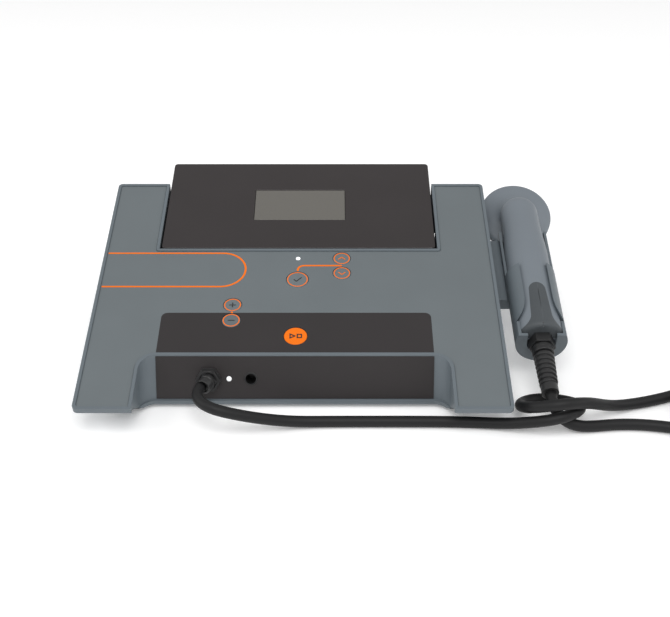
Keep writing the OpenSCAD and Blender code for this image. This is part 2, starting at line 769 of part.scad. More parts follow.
// ---------- handset ----------

// half profile of the handle, drawn along its axis
module handle_profile(t) {
    r = handle_r - t;
    e = neck_r - t;
    s0 = cable_end + t;
    s1 = handle_end - t;
    polygon(concat([[0, s0], [r - 3, s0]],
        [for (a = [-90:15:0]) [r - 3 + 3 * cos(a), s0 + 3 + 3 * sin(a)]],
        [[r, taper_s0]],
        [for (i = [1:8]) let (u = i / 8, w = (1 - cos(180 * u)) / 2)
            [r + (e - r) * w, taper_s0 + (taper_s1 - taper_s0) * u]],
        [for (a = [0:7.5:90]) [e * cos(a), s1 - e + e * sin(a)]]));
}

module handle_solid(t) { on_grip(0) rotate_extrude() handle_profile(t); }

// the lower half of the handset's space between two places along its axis
module lower_half(s0, s1) {
    on_panel() translate([grip_x - 60, s0, grip_n - 100]) cube([120, s1 - s0, 100]);
}

// tongue outline of the soft grip, which flares at the cable end and wraps over it
module grip_outline() {
    flare = [for (a = [0:10:90]) [inset_foot + grip_flare * (1 - cos(a)), flare_s - flare_l * sin(a)]];
    side = concat([[inset_r, inset_s - inset_r]], flare,
        [[handle_r, flare_s - flare_l], [handle_r, cable_end - 1]]);
    translate([0, inset_s - inset_r]) circle(inset_r);
    for (m = [0, 1]) mirror([m, 0]) polygon(concat([[0, cable_end - 1], [0, inset_s - inset_r]], side));
}

module grip_prism() { on_panel() translate([grip_x, 0, grip_n + 2]) linear_extrude(40) grip_outline(); }

module handset_grip() color([0.27, 0.29, 0.3]) intersection() {
    grip_prism();
    difference() {
        handle_solid(0);
        handle_solid(inset_t);
        on_grip(cable_end - 1) cylinder(d = stub_d, h = stub_l);
    }
}

module handset_top_shell() color([0.45, 0.48, 0.5]) difference() {
    handle_solid(0);
    lower_half(0, 400);
    handle_solid(shell_t);
    difference() {
        grip_prism();
        handle_solid(inset_t);
    }
    on_grip(cable_end - 1) cylinder(d = stub_d, h = stub_l);
}

module handset_bottom_shell() color([0.43, 0.46, 0.48]) difference() {
    intersection() {
        handle_solid(0);
        lower_half(0, head_split_s);
    }
    handle_solid(shell_t);
    on_grip(cable_end - 1) cylinder(d = stub_d, h = stub_l);
    on_handset_screws() cylinder(d = 4.2, h = 10);
    on_handset_screws() translate([0, 0, -8]) cylinder(d = 2.4, h = 10);
}

module head_profile() {
    polygon([[0, -20], [10, -20], [10.5, -8], [14, -5], [20, -2.6], [head_r - 1, -1], [head_r, 0],
             [head_r, rim_t], [0, rim_t]]);
}

module head_housing() color([0.43, 0.46, 0.48]) difference() {
    intersection() {
        union() {
            on_head() rotate_extrude() head_profile();
            handle_solid(0);
        }
        lower_half(head_split_s, 400);
    }
    handle_solid(shell_t);
    on_head() translate([0, 0, -0.4]) cylinder(r = 19, h = 10);
    on_head() translate([0, 0, -30]) cylinder(r = 8, h = 40);
    on_head() translate([0, 0, pocket_h]) cylinder(r = face_r + 0.05, h = 10);
}

module treatment_face() color([0.8, 0.81, 0.82]) on_head() difference() {
    union() {
        translate([0, 0, pocket_h]) cylinder(r = face_r, h = face_h - 0.8);
        translate([0, 0, pocket_h + face_h - 0.8]) cylinder(r1 = face_r, r2 = face_r - 0.8, h = 0.8);
    }
    translate([0, 0, pocket_h - 1]) cylinder(r = 18, h = face_h - 1.4);
    translate([0, 0, pocket_h + 0.25]) ring(face_r + 1, face_r - 1.45, 1.5);
}

module head_seal() color([0.1, 0.1, 0.1]) on_head() translate([0, 0, pocket_h + 1])
    rotate_extrude() translate([face_r - 0.7, 0]) circle(0.7, $fn = 24);

module ultrasound_crystal() color([0.85, 0.8, 0.6]) on_head()
    translate([0, 0, pocket_h + face_h - 2.4 - 2]) cylinder(r = 16, h = 2);

module crystal_contact() color([0.8, 0.7, 0.3]) on_head() {
    translate([0, 0, -3]) cylinder(r = 2.5, h = pocket_h + face_h - 4.4 + 3);
    translate([0, 0, 0]) cylinder(r = 6, h = 0.8);
}

module handset_screws() color([0.7, 0.7, 0.72]) on_handset_screws() screw(4, 1.2, 2, 6);

module on_handset_screws() {
    for (s = [cable_end + 24, taper_s0 - 6])
        on_panel() translate([grip_x, s, grip_n - handle_r + 1.4]) rotate([180, 0, 0]) children();
}

module gland_body() color([0.1, 0.1, 0.1]) {
    on_grip(cable_end - gland_t) difference() {
        hexagon(gland_af, gland_t);
        translate([0, 0, -1]) cylinder(d = cable_d + 0.4, h = gland_t + 2);
    }
    on_grip(cable_end) difference() {
        cylinder(d = stub_d - 0.1, h = stub_l - 1);
        translate([0, 0, -1]) cylinder(d = cable_d + 0.4, h = 12);
    }
}

module gland_collar() color([0.1, 0.1, 0.1]) on_grip(cable_end - gland_t - collar_t)
    rotate_extrude() polygon([[cable_d / 2 + 0.2, 0], [6.4, 0], [6.9, 0.8], [6.9, collar_t],
        [cable_d / 2 + 0.2, collar_t]]);

// spiral guard, drawn as stacked rings that taper to the cable
module strain_relief() color([0.1, 0.1, 0.1]) on_grip(relief_end) {
    turns = 8;
    pitch = (relief_l - 6) / turns;
    rotate_extrude() polygon(concat([[cable_d / 2 + 0.2, 0], [5.6, 0], [5.6, 5.2]],
        [for (i = [0:turns - 1], q = [0:3]) let (z = 6 + pitch * (i + q / 4), top = 5.6 + 0.9 * i / turns)
            [q == 1 || q == 2 ? top : top - 1.2, z]],
        [[5.4, relief_l], [cable_d / 2 + 0.2, relief_l]]));
}

// ---------- cable ----------

function knots(p) = concat([2 * p[0] - p[1]], p, [2 * p[len(p) - 1] - p[len(p) - 2]]);
function blend3(a, b, c, e, t) = ((1 - t) ^ 3 * a + (3 * t ^ 3 - 6 * t ^ 2 + 4) * b
    + (-3 * t ^ 3 + 3 * t ^ 2 + 3 * t + 1) * c + t ^ 3 * e) / 6;
// smooth cubic curve that follows the route's points, with n places for each
function curve(p, n) = let (k = knots(p)) concat(
    [for (i = [0:len(k) - 4], j = [0:n - 1]) blend3(k[i], k[i + 1], k[i + 2], k[i + 3], j / n)],
    [p[len(p) - 1]]);
function unit(v) = v / norm(v);
function heading(c, i) = unit(c[min(i + 1, len(c) - 1)] - c[max(i - 1, 0)]);

module tube(path, d, sides) {
    n = len(path);
    ring_pts = [for (i = [0:n - 1])
        let (t = heading(path, i), u = unit(cross(t, [0, 0, 1])), w = cross(u, t))
        for (j = [0:sides - 1]) path[i] + d / 2 * (cos(360 * j / sides) * u + sin(360 * j / sides) * w)];
    side_faces = [for (i = [0:n - 2], j = [0:sides - 1])
        let (a = i * sides + j, b = i * sides + (j + 1) % sides)
        each [[a, b, b + sides], [a, b + sides, a + sides]]];
    near_end = [for (j = [1:sides - 2]) [0, j + 1, j]];
    far_end = [for (j = [1:sides - 2]) (n - 1) * sides * [1, 1, 1] + [0, j, j + 1]];
    polyhedron(ring_pts, concat(side_faces, near_end, far_end), convexity = 8);
}

module cord_console_run() color([0.12, 0.12, 0.12])
    place() tube(curve(RUN_CONSOLE, 2), cable_d, TUBE_SIDES);
module cord_handset_run() color([0.12, 0.12, 0.12])
    place() tube(curve(RUN_HANDSET, 1), cable_d, TUBE_SIDES);

module cord_coil() color([0.12, 0.12, 0.12]) place() translate([coil_x, coil_y, 0])
    rotate_extrude() translate([coil_r - coil_w / 2, 0]) square([coil_w, coil_h]);

module cord_tie() color([0.2, 0.2, 0.2]) place() translate([coil_x, coil_y, 0]) rotate([0, 0, 20])
    translate([coil_r - coil_w / 2 - 1, -5, 0]) difference() {
        cube([coil_w + 2, 10, coil_h + 1]);
        translate([1, -1, -1]) cube([coil_w, 12, coil_h + 1]);
    }

top_cover();
lower_housing();
panel_overlay();
panel_label();
wall_label();
display_bezel();
display_housing();
display_window();
display_module();
key_board();
key_domes();
main_board();
generator_board();
power_supply();
heat_sink();
buzzer();
power_lamp();
output_lamp();
output_socket();
output_socket_nut();
accessory_jack();
mains_inlet();
inlet_screws();
rocker_frame();
power_rocker();
fuse_drawer();
fuses();
feet();
case_screws();
board_screws();
cradle_bracket();
cradle();
bracket_screws();
start_key();
select_key();
up_key();
down_key();
plus_key();
minus_key();
handset_top_shell();
handset_bottom_shell();
handset_grip();
head_housing();
treatment_face();
head_seal();
ultrasound_crystal();
crystal_contact();
handset_screws();
gland_body();
gland_collar();
strain_relief();
cable_plug();
plug_coupling_nut();
cord_console_run();
cord_coil();
cord_tie();
cord_handset_run();
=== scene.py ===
# %% [markdown]
# # An ultrasound therapy console, its handset and its cable
#
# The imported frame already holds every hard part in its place. This lesson gives each one its
# skin: softened edges on the mouldings, turned lenses and keys, a spiral guard, a real cable,
# printed lines that stand a hair above the film, and a finish for every material.

# %% Load the frame
import json
import math

import bmesh
import bpy
import numpy as np
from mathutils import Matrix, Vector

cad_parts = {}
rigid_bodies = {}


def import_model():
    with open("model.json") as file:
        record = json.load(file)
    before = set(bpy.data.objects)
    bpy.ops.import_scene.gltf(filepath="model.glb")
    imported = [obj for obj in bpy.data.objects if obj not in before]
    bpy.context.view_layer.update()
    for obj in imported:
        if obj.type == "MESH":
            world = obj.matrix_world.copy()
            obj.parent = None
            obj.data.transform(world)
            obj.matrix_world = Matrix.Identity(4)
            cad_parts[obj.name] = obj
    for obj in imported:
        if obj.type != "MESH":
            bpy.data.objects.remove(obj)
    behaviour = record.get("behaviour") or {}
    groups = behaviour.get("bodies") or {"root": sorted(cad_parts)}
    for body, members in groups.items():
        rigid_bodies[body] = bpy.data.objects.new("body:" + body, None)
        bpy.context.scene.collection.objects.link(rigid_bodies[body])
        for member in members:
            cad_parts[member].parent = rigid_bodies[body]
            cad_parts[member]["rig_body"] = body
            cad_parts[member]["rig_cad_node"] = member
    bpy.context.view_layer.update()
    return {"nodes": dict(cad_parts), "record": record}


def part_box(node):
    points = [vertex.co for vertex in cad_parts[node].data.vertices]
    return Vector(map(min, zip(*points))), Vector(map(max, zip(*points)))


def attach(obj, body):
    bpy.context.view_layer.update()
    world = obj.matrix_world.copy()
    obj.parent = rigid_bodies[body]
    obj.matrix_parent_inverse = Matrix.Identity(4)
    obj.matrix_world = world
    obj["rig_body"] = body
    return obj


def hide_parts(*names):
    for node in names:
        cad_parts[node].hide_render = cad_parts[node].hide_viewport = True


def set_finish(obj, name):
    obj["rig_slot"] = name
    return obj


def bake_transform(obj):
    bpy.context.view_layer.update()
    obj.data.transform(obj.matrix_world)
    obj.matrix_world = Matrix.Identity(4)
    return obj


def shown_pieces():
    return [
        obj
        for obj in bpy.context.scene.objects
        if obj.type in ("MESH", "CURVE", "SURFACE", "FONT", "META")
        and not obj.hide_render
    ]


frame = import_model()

MM = 0.001
print("nodes in the frame:", len(frame["nodes"]))

# %% [markdown]
# ## Where things are
#
# The console's top is a flat panel that leans back by 15 degrees, so nearly everything is easiest
# to place by how far it lies across the panel, up its slope and out from it. The front edge comes
# from the cover's own box, and the middle from the start key's, so nothing is fitted by eye.

# %% Panel, wall and handset places
SLOPE = math.radians(15)
LEAN = math.radians(19)
cover_low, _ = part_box("top_cover")
key_low, key_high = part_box("start_key")
MIDDLE_X = (key_low.x + key_high.x) / 2
RIM_H = 0.6 * MM
FRONT_Y = cover_low.y + RIM_H * math.sin(SLOPE)
FRONT_Z = 20.6 * MM
ACROSS = np.array([1.0, 0.0, 0.0])
UP_SLOPE = np.array([0.0, math.cos(SLOPE), math.sin(SLOPE)])
OUT = np.array([0.0, -math.sin(SLOPE), math.cos(SLOPE)])
WALL_OUT = np.array([0.0, -math.cos(LEAN), math.sin(LEAN)])
WALL_DOWN = np.array([0.0, -math.sin(LEAN), -math.cos(LEAN)])
RECESS_DEEP = 42.5


def bench(x, y, z):
    """Point from millimetres across from the middle, back from the front edge and above the bench."""
    return np.array([MIDDLE_X + x * MM, FRONT_Y + y * MM, z * MM])


def panel(x, s, n=0.0):
    """Point from millimetres across the panel, up its slope and out of it."""
    front = np.array([MIDDLE_X, FRONT_Y, FRONT_Z])
    return front + MM * (x * ACROSS + s * UP_SLOPE + n * OUT)


def wall(x, drop, out=0.0):
    """Point on the connector wall: across, down from the crease where it meets the panel, and out."""
    return panel(x, RECESS_DEEP) + MM * (drop * WALL_DOWN + out * WALL_OUT)


print("panel middle", np.round(panel(0, 100), 4))

# %% [markdown]
# ## The camera
#
# The object is seen from in front and a little above, as a person at the bench sees it. The
# camera stands on the middle line of the whole object and looks down without any turn.

# %% Camera
LOOK_DOWN = 30.7
camera_data = bpy.data.cameras.new("camera")
camera_data.sensor_width = 36.0
camera_data.lens = 59.1045
camera = bpy.data.objects.new("camera", camera_data)
camera.location = bench(24.6, -523.8, 400.5)
camera.rotation_euler = (math.radians(90 - LOOK_DOWN), 0.0, 0.0)
bpy.context.scene.collection.objects.link(camera)
bpy.context.scene.camera = camera
print("lens", round(camera_data.lens, 1), "mm")

# %% [markdown]
# ## Surfaces from two parameters
#
# A turned part, a cable or a printed line is a sheet bent into shape: rows run along one
# parameter and columns round the other. numpy works out all the points at once, and the same
# few lines then stitch any such grid into quads. Rings can be closed, and ends capped.

# %% Grid to mesh
def grid_piece(name, points, caps=True, smooth=True, uv=None):
    """Mesh from an array of rows x columns x 3: quads join each point to the next row and column.

    The last column joins the first. caps fills the first and last rows with one face."""
    rows, columns = points.shape[:2]
    index = np.arange(rows * columns).reshape(rows, columns)
    right = np.roll(index, -1, axis=1)
    quads = np.stack([index[:-1], right[:-1], right[1:], index[1:]], axis=-1).reshape(-1, 4)
    faces = quads.tolist()
    if caps:
        faces += [index[0, ::-1].tolist(), index[-1].tolist()]
    mesh = bpy.data.meshes.new(name)
    mesh.from_pydata(points.reshape(-1, 3).tolist(), [], faces)
    mesh.update()
    mesh.polygons.foreach_set("use_smooth", np.full(len(mesh.polygons), smooth))
    if uv is not None:
        layer = mesh.uv_layers.new(name="along")
        corners = np.zeros(len(mesh.loops), np.int32)
        mesh.loops.foreach_get("vertex_index", corners)
        layer.data.foreach_set("uv", uv.reshape(-1, 2)[corners].astype(np.float32).ravel())
    piece = bpy.data.objects.new(name, mesh)
    bpy.context.scene.collection.objects.link(piece)
    return piece


def turned(name, outline, origin, axis, sides=48, hollow=False):
    """Solid of revolution: each outline point (radius, height) in mm goes once round the axis.

    The first and last radius are near 0, so the ends close on the axis. A hollow one is a ring
    instead: its outline comes back to its first point, and the two are joined."""
    axis = np.asarray(axis) / np.linalg.norm(axis)
    side = np.cross(axis, [1.0, 0.0, 0.0] if abs(axis[0]) < 0.9 else [0.0, 1.0, 0.0])
    side /= np.linalg.norm(side)
    other = np.cross(axis, side)
    outline = np.asarray(outline, float)
    angle = np.linspace(0, 2 * np.pi, sides, endpoint=False)
    round_axis = np.cos(angle)[:, None] * side + np.sin(angle)[:, None] * other
    points = (np.asarray(origin) + MM * outline[:, 0, None, None] * round_axis[None]
              + MM * outline[:, 1, None, None] * axis)
    piece = grid_piece(name, points, caps=not hollow)
    weld(piece)
    piece.data.set_sharp_from_angle(angle=math.radians(35))
    return piece


def arc(centre, radius, start, stop, steps=6):
    """Outline points on a circle's arc, for rounding an edge. Angles in degrees."""
    angle = np.radians(np.linspace(start, stop, steps))
    return np.stack([centre[0] + radius * np.cos(angle), centre[1] + radius * np.sin(angle)], 1)


def weld(piece):
    """Joins points that lie together, such as where a strip closes, and turns the faces outwards."""
    shape = bmesh.new()
    shape.from_mesh(piece.data)
    bmesh.ops.remove_doubles(shape, verts=shape.verts, dist=0.001 * MM)
    bmesh.ops.recalc_face_normals(shape, faces=shape.faces)
    shape.to_mesh(piece.data)
    shape.free()


print("surface helpers ready")

# %% [markdown]
# ## The cable's route
#
# The cable is one length from the plug to the handset, about 1.5 m, the usual length for such a
# handset. Only its two ends show, so the rest is wound into a flat coil beside the console. The
# route is a short list of given points, and a smooth cubic curve runs along them. The
# coil's turns follow a rule: two turns on the bench, then back out over them.

# %% Route points and the smooth curve
CABLE_D = 7.0
CONSOLE_RUN = [
    (-56.7, 24.6, 19.8), (-58.6, 19, 20.2), (-58.3, 13, 20.5), (-55.8, 7.6, 20.6), (-51.5, 3.6, 20.3),
    (-45.9, 1.4, 19.3), (-39.6, 1.4, 17.5), (-31.5, 2.4, 14.7), (-22.5, 4.4, 11.3), (-12.5, 6.9, 7.9),
    (-1.5, 9.3, 5.1), (11, 11, 3.7), (25, 11.5, 3.5), (45, 11.5, 3.5), (80, 11.5, 3.5),
    (104, 11, 3.5), (120, 9, 4), (133, 6, 6), (145, 3, 9.5),
    (156.5, -1, 14.2), (170, 5.5, 15.2), (175, 19.5, 9.5), (168, 32.5, 4), (153, 36.5, 3.5),
    (141, 31.5, 4.5), (135, 20, 9), (139, 8, 15.5), (151, 1, 22.6), (165, 1, 24.6),
    (178.5, 10.5, 18), (190, 21, 8), (203, 27.5, 4), (218, 32, 3.5), (235, 38, 3.5),
    (252, 47, 3.5), (266, 57, 3.5)]
HANDSET_RUN = [
    (155, 21.8, 16.1), (155, 17, 14.8), (156, 11.5, 12), (160, 7, 8), (167, 5, 4.6),
    (177, 6, 3.5), (190, 8.5, 3.5), (205, 9, 3.5), (222, 6.5, 3.6), (240, 0, 4.8),
    (254, -9, 7.5), (266, -18, 10.5)]
COIL_X = 282.0
COIL_Y = 19.0
COIL_START = 113.0
COIL_TURNS = 3.63
INNER_TURN, OUTER_TURN = 34.5, 41.5
FIRST_LAYER, SECOND_LAYER = CABLE_D / 2, CABLE_D * 1.5


def smooth_route(points, steps=6):
    """Uniform cubic B-spline: each point on it is a blend of four neighbours, weighted by cubics."""
    p = np.asarray(points, float)
    p = np.vstack([2 * p[0] - p[1], p, 2 * p[-1] - p[-2]])
    t = np.linspace(0, 1, steps, endpoint=False)[:, None, None]
    a, b, c, d = p[:-3], p[1:-2], p[2:-1], p[3:]
    line = ((1 - t) ** 3 * a + (3 * t**3 - 6 * t**2 + 4) * b
            + (-3 * t**3 + 3 * t**2 + 3 * t + 1) * c + t**3 * d) / 6
    line = line.transpose(1, 0, 2).reshape(-1, 3)
    return np.vstack([line, p[-2]])


def coil_route(steps=150):
    """Turns of the coil: angle falls steadily; radius and height step over between the turns."""
    turn = np.linspace(0, COIL_TURNS, steps)
    knots = [0, 0.8, 1.0, 1.6, 1.8, 2.62, 2.8, COIL_TURNS]
    radius = np.interp(turn, knots, [OUTER_TURN] * 2 + [INNER_TURN] * 4 + [OUTER_TURN] * 2)
    height = np.interp(turn, knots, [FIRST_LAYER] * 4 + [SECOND_LAYER] * 4)
    angle = np.radians(COIL_START) - 2 * np.pi * turn
    return np.stack([COIL_X + radius * np.cos(angle), COIL_Y + radius * np.sin(angle), height], 1)


def distance_along(line):
    """How far along a line each of its points is."""
    return np.r_[0, np.cumsum(np.linalg.norm(np.diff(line, axis=0), axis=1))]


def even(line, step):
    """The same line with its points a fixed distance apart, softened by a short running mean."""
    run = distance_along(line)
    want = np.linspace(0, run[-1], int(run[-1] / step))
    out = np.stack([np.interp(want, run, line[:, k]) for k in range(3)], 1)
    for _ in range(6):
        out[1:-1] = (out[:-2] + 2 * out[1:-1] + out[2:]) / 4
    return out


route = np.vstack([smooth_route(CONSOLE_RUN)[:-1], coil_route(), smooth_route(HANDSET_RUN)[::-1][1:]])
route = even(route, 2.4)
route_m = np.array([MIDDLE_X, FRONT_Y, 0.0]) + route * MM
CABLE_LENGTH = float(distance_along(route_m)[-1])
print("cable length", round(CABLE_LENGTH, 3), "m")

# %% [markdown]
# ## The cable's skin
#
# A tube is a circle carried along the route. The circle must not spin as the route bends, so each
# ring's side vector is the one before it, turned just enough to stay square to the line.

# %% Carry a profile along a path
def carried_frames(line):
    """Side and up vectors along a line, each the last one less its part along the new direction."""
    ahead = np.gradient(line, axis=0)
    ahead /= np.linalg.norm(ahead, axis=1)[:, None]
    side = np.zeros_like(line)
    first = np.cross(ahead[0], [0.0, 0.0, 1.0])
    side[0] = first / np.linalg.norm(first)
    for k in range(1, len(line)):
        turned_side = side[k - 1] - ahead[k] * (side[k - 1] @ ahead[k])
        side[k] = turned_side / np.linalg.norm(turned_side)
    return side, np.cross(ahead, side)


def tube(name, line, radius, sides=20):
    """Round tube: ring points are the centreline plus radius times cosine side and sine up."""
    side, up = carried_frames(line)
    angle = np.linspace(0, 2 * np.pi, sides, endpoint=False)
    radius = np.broadcast_to(np.asarray(radius, float), (len(line),))
    ring = side[:, None] * np.cos(angle)[:, None] + up[:, None] * np.sin(angle)[:, None]
    run = distance_along(line)
    uv = np.stack(np.broadcast_arrays(run[:, None], angle[None] / (2 * np.pi)), -1)
    return grid_piece(name, line[:, None] + radius[:, None, None] * ring, uv=uv)


cable = tube("cable", route_m, CABLE_D / 2 * MM)
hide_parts("cord_console_run", "cord_coil", "cord_handset_run")
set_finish(cable, "cable_rubber")
print("cable faces", len(cable.data.polygons))

# %% [markdown]
# The handset can be slid out of its cradle. Each ring in the cable's last stretch gets a share that rises
# smoothly from 0 to 1 towards the handset end.

# %% Shares along the cable's last stretch
RELEASED = 0.125
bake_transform(cable)
run = distance_along(route_m)
share = np.clip((run - (run[-1] - RELEASED)) / (RELEASED - 0.008), 0, 1)
share = share * share * (3 - 2 * share)
print("rings that follow the handset", int((share > 0).sum()))

# %% [markdown]
# ## The tie and the plug
#
# A soft strap holds the coil. It is a flat strip closed round the turns: its section is a thin
# rounded box, carried round a rounded rectangle. The plug's boot is turned, leans away from the
# wall and ends in a collar that the cable comes out of.

# %% Strap round the coil
def rounded_loop(half_w, half_h, radius, steps=9):
    """Points once round a rectangle whose four corners are arcs."""
    corners = [(1, 1, 0), (-1, 1, 90), (-1, -1, 180), (1, -1, 270)]
    return np.vstack([arc((x * (half_w - radius), y * (half_h - radius)), radius, a, a + 90, steps)
                      for x, y, a in corners])


STRAP_ANGLE = math.radians(20)
STRAP_OUT_R = (INNER_TURN + OUTER_TURN) / 2
STRAP_MID_Z = 7.5
tie_mid = bench(COIL_X + STRAP_OUT_R * math.cos(STRAP_ANGLE),
                COIL_Y + STRAP_OUT_R * math.sin(STRAP_ANGLE), STRAP_MID_Z)
strap_out = np.array([math.cos(STRAP_ANGLE), math.sin(STRAP_ANGLE), 0.0])
strap_along = np.array([-math.sin(STRAP_ANGLE), math.cos(STRAP_ANGLE), 0.0])
loop = rounded_loop(7.75, 7.4, 3.2)
inner = rounded_loop(7.15, 6.9, 2.8)
section = [(loop, -4.4), (loop * 1.006, -3.9), (loop * 1.006, 3.9), (loop, 4.4),
           (inner, 4.4), (inner, -4.4)]
strip = np.stack([tie_mid + MM * (ring[:, :1] * strap_out + ring[:, 1:] * np.array([0.0, 0.0, 1.0])
                                  + along * strap_along) for ring, along in section], axis=1)
strap = grid_piece("coil_strap", np.vstack([strip, strip[:1]]), caps=False)
weld(strap)
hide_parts("cord_tie")
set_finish(strap, "black_plastic")
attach(strap, "console")
print("strap points", len(strap.data.vertices))

# %% Boot of the plug
SOCKET_X = -53.0
FITTING_DROP = 14.7
BALL_OUT = 8.0
boot_from = wall(SOCKET_X, FITTING_DROP, BALL_OUT)
cable_way = route_m[3] - boot_from
boot_axis = cable_way / np.linalg.norm(cable_way)
boot_outline = np.vstack([
    [(0.02, -4.4), (2.4, -4.2), (3.9, -3.0), (4.75, -1.2)],
    [(4.8, 0.6), (4.45, 1.0), (4.45, 1.7), (4.8, 2.1)],
    arc((4.1, 5.4), 0.6, 0, 80), [(3.62, 5.9), (3.62, 4.6), (0.02, 4.6)]])
boot = turned("plug_boot", boot_outline, boot_from, boot_axis)
neck = turned("plug_neck", [(0.02, 3.4), (3.15, 3.4), (3.15, 8.2), (0.02, 8.2)],
              wall(SOCKET_X, FITTING_DROP), WALL_OUT)
for piece in (boot, neck):
    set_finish(piece, "black_plastic")
    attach(piece, "console")
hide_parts("cable_plug")
print("boot points the way of the cable", np.round(boot_axis, 2))

# %% [markdown]
# ## Softened edges
#
# No moulded edge is a perfect corner: each has a small radius that catches a line of light. The
# frame's own meshes stay untouched, so each visible moulding gets a copy. Its loose triangles are
# merged and flat areas dissolved into single faces, and a Bevel modifier rounds what is left. A
# face with holes in it can't be one face, so the pierced mouldings keep their triangles.

# %% Softened copies
PIERCED = {"lower_housing", "top_cover", "rocker_frame", "mains_inlet", "head_housing"}


def softened(node, radius, slot, body, sharp=32, segments=3):
    """Copy of a frame node with its sharp edges rounded by a radius in mm."""
    piece = frame["nodes"][node].copy()
    piece.data = frame["nodes"][node].data.copy()
    piece.name = node + "_moulding"
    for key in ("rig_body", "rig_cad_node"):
        if key in piece:
            del piece[key]
    piece.parent = None
    bpy.context.scene.collection.objects.link(piece)
    shape = bmesh.new()
    shape.from_mesh(piece.data)
    bmesh.ops.remove_doubles(shape, verts=shape.verts, dist=0.002 * MM)
    if node not in PIERCED:
        bmesh.ops.dissolve_limit(shape, angle_limit=math.radians(0.4), verts=shape.verts, edges=shape.edges)
    shape.to_mesh(piece.data)
    shape.free()
    piece.data.materials.clear()
    piece.data.polygons.foreach_set("use_smooth", np.ones(len(piece.data.polygons), bool))
    piece.data.set_sharp_from_angle(angle=math.radians(sharp))
    bevel = piece.modifiers.new("soft edge", "BEVEL")
    bevel.width = radius * MM
    bevel.segments = segments
    bevel.limit_method = "ANGLE"
    bevel.angle_limit = math.radians(sharp)
    bevel.harden_normals = True
    bevel.use_clamp_overlap = True
    bevel.miter_outer = "MITER_ARC"
    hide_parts(node)
    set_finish(piece, slot)
    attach(piece, body)
    return piece


SOFT_EDGES = [
    ("top_cover", 0.45, "housing_grey", "console"), ("lower_housing", 0.4, "housing_grey", "console"),
    ("cradle_bracket", 0.8, "housing_grey", "console"), ("cradle", 0.5, "housing_grey", "console"),
    ("display_bezel", 0.7, "bezel_gloss", "console"), ("display_housing", 0.8, "housing_dark", "console"),
    ("display_window", 0.25, "window", "console"), ("handset_top_shell", 0.35, "handset_grey", "handset"),
    ("handset_bottom_shell", 0.35, "handset_grey", "handset"),
    ("head_housing", 0.5, "handset_grey", "handset"), ("handset_grip", 0.25, "grip_rubber", "handset"),
    ("treatment_face", 0.3, "treatment_aluminium", "handset"),
    ("gland_body", 0.35, "black_plastic", "handset"), ("output_socket_nut", 0.3, "nut_dark", "console"),
    ("plug_coupling_nut", 0.35, "black_plastic", "plug_coupling_nut"),
    ("mains_inlet", 0.5, "black_plastic", "console"), ("rocker_frame", 0.4, "black_plastic", "console"),
    ("power_rocker", 0.35, "black_plastic", "power_rocker"),
    ("fuse_drawer", 0.3, "black_plastic", "fuse_drawer"),
    ("feet", 0.6, "foot_rubber", "console")]
mouldings = {node: softened(node, radius, slot, body) for node, radius, slot, body in SOFT_EDGES}
print("mouldings", len(mouldings))

# %% [markdown]
# ## Spiral guard
#
# Where the cable leaves the handset, a moulded spiral lets it bend gently. It is one surface of
# two parameters: the radius at each place is a taper along the axis plus a ridge whose phase
# turns with the angle, so the ridge winds round as a thread does.

# %% Guard and collar
GRIP_X = 155.0
GRIP_N = -10.0
CABLE_END = 64.5
GLAND_L = 13.0
GUARD_L = 31.0
GUARD_TURNS = 8.5
guard_from = panel(GRIP_X, CABLE_END - GLAND_L - GUARD_L, GRIP_N)


def spiral_guard(rows=260, sides=40):
    """Radius = taper(height) + ridge(turns * height - angle), the ridge fading out at both ends."""
    height = np.linspace(0, 1, rows)[:, None]
    angle = np.linspace(0, 2 * np.pi, sides, endpoint=False)[None]
    phase = (GUARD_TURNS * height - angle / (2 * np.pi)) % 1
    ridge = np.clip(1.6 * np.sin(np.pi * np.clip((phase - 0.12) / 0.6, 0, 1)), 0, 1)
    fade = np.clip((height - 0.17) / 0.03, 0, 1) * np.clip((0.985 - height) / 0.02, 0, 1)
    sleeve = np.where(height < 0.17, 5.35, 4.35 + 1.1 * height)
    radius = sleeve + 1.15 * ridge * fade
    radius[0], radius[-1] = 5.0, 5.2
    round_axis = np.cos(angle)[..., None] * ACROSS + np.sin(angle)[..., None] * OUT
    ring = guard_from + MM * (radius[..., None] * round_axis + GUARD_L * height[..., None] * UP_SLOPE)
    lip = guard_from + MM * 3.7 * round_axis
    return np.concatenate([lip, ring], 0)


guard = grid_piece("spiral_guard", spiral_guard()[:, ::-1], caps=True)
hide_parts("strain_relief")
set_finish(guard, "relief_rubber")
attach(guard, "handset")
collar_outline = np.vstack([[(0.02, 0.1), (5.9, 0.1)], arc((6.3, 0.7), 0.55, -80, 0),
                            [(6.85, 2.2), (6.55, 2.5), (6.55, 3.1), (6.85, 3.4)],
                            arc((6.3, 5.3), 0.55, 0, 80), [(5.6, 5.9), (0.02, 5.9)]])
collar = turned("gland_ring", collar_outline, panel(GRIP_X, CABLE_END - GLAND_L, GRIP_N), UP_SLOPE)
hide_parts("gland_collar")
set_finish(collar, "black_plastic")
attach(collar, "handset")
print("guard faces", len(guard.data.polygons))

# %% [markdown]
# ## Keys and lamps
#
# A key is a short turned button with a rounded edge and a shallow dish for the finger. A lamp is
# a clear dome. Both are turned from an outline and stand where the frame has them.

# %% Turned keys
KEYS = {"start_key": (0, 58.9, 14.5), "select_key": (0, 109.4, 14.5), "up_key": (29.1, 129.5, 11.8),
        "down_key": (29.1, 115.4, 11.8), "plus_key": (-41, 86, 11.8), "minus_key": (-41, 72.4, 11.8)}
KEY_SLOTS = {"start_key": "key_orange", "minus_key": "key_dark"}


